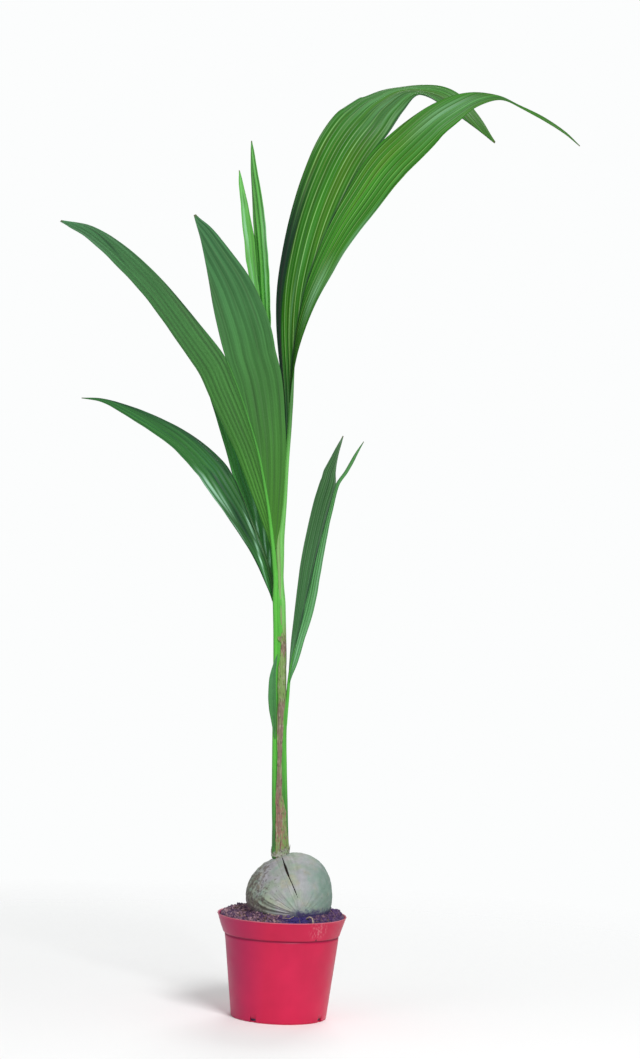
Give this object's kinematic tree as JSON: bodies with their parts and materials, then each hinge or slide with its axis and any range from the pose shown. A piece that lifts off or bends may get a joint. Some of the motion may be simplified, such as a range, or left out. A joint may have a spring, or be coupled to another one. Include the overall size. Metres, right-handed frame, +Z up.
{
  "type": "coconut palm tree",
  "caption": "Young potted coconut palm sprouting from a husked nut half sunk in soil, with a slender sheathed stem and arching pleated leaves that are split into two lobes.",
  "frame": {"origin": "centre of the pot's flat underside", "axes": "+Z up from the surface the pot stands on; +X to the right and -Y towards the viewer of the palm's front"},
  "size_m": [0.7313, 0.3232, 1.398],
  "materials": {
    "pot_plastic": "crimson injection-moulded plastic, satin",
    "soil": "dark damp potting compost, rough and granular",
    "husk": "dry fibrous coconut husk, grey-green and matt",
    "sheath": "leaf sheaths, green with brown fibrous strips, satin",
    "stalk": "smooth bright green leaf stalk, satin",
    "leaf": "pleated green palm leaf, satin"
  },
  "bodies": {
    "root": {"pot": "pot_plastic", "potting_soil": "soil", "coconut": "husk", "trunk": "sheath", "right_leaf_stalk": "stalk", "right_leaf_back_base": "leaf", "right_leaf_back_tip": "leaf", "right_leaf_front_base": "leaf", "right_leaf_front_tip": "leaf", "front_leaf_stalk": "stalk", "front_leaf_upright": "leaf", "front_leaf_left": "leaf", "lower_leaf_stalk": "stalk", "lower_leaf_long": "leaf", "lower_leaf_short": "leaf", "spear_leaf_stalk": "stalk", "spear_leaf_left": "leaf", "spear_leaf_right": "leaf", "small_leaf_stalk": "stalk", "small_leaf_left": "leaf", "small_leaf_right": "leaf", "first_leaf": "leaf"}
  },
  "joints": []
}
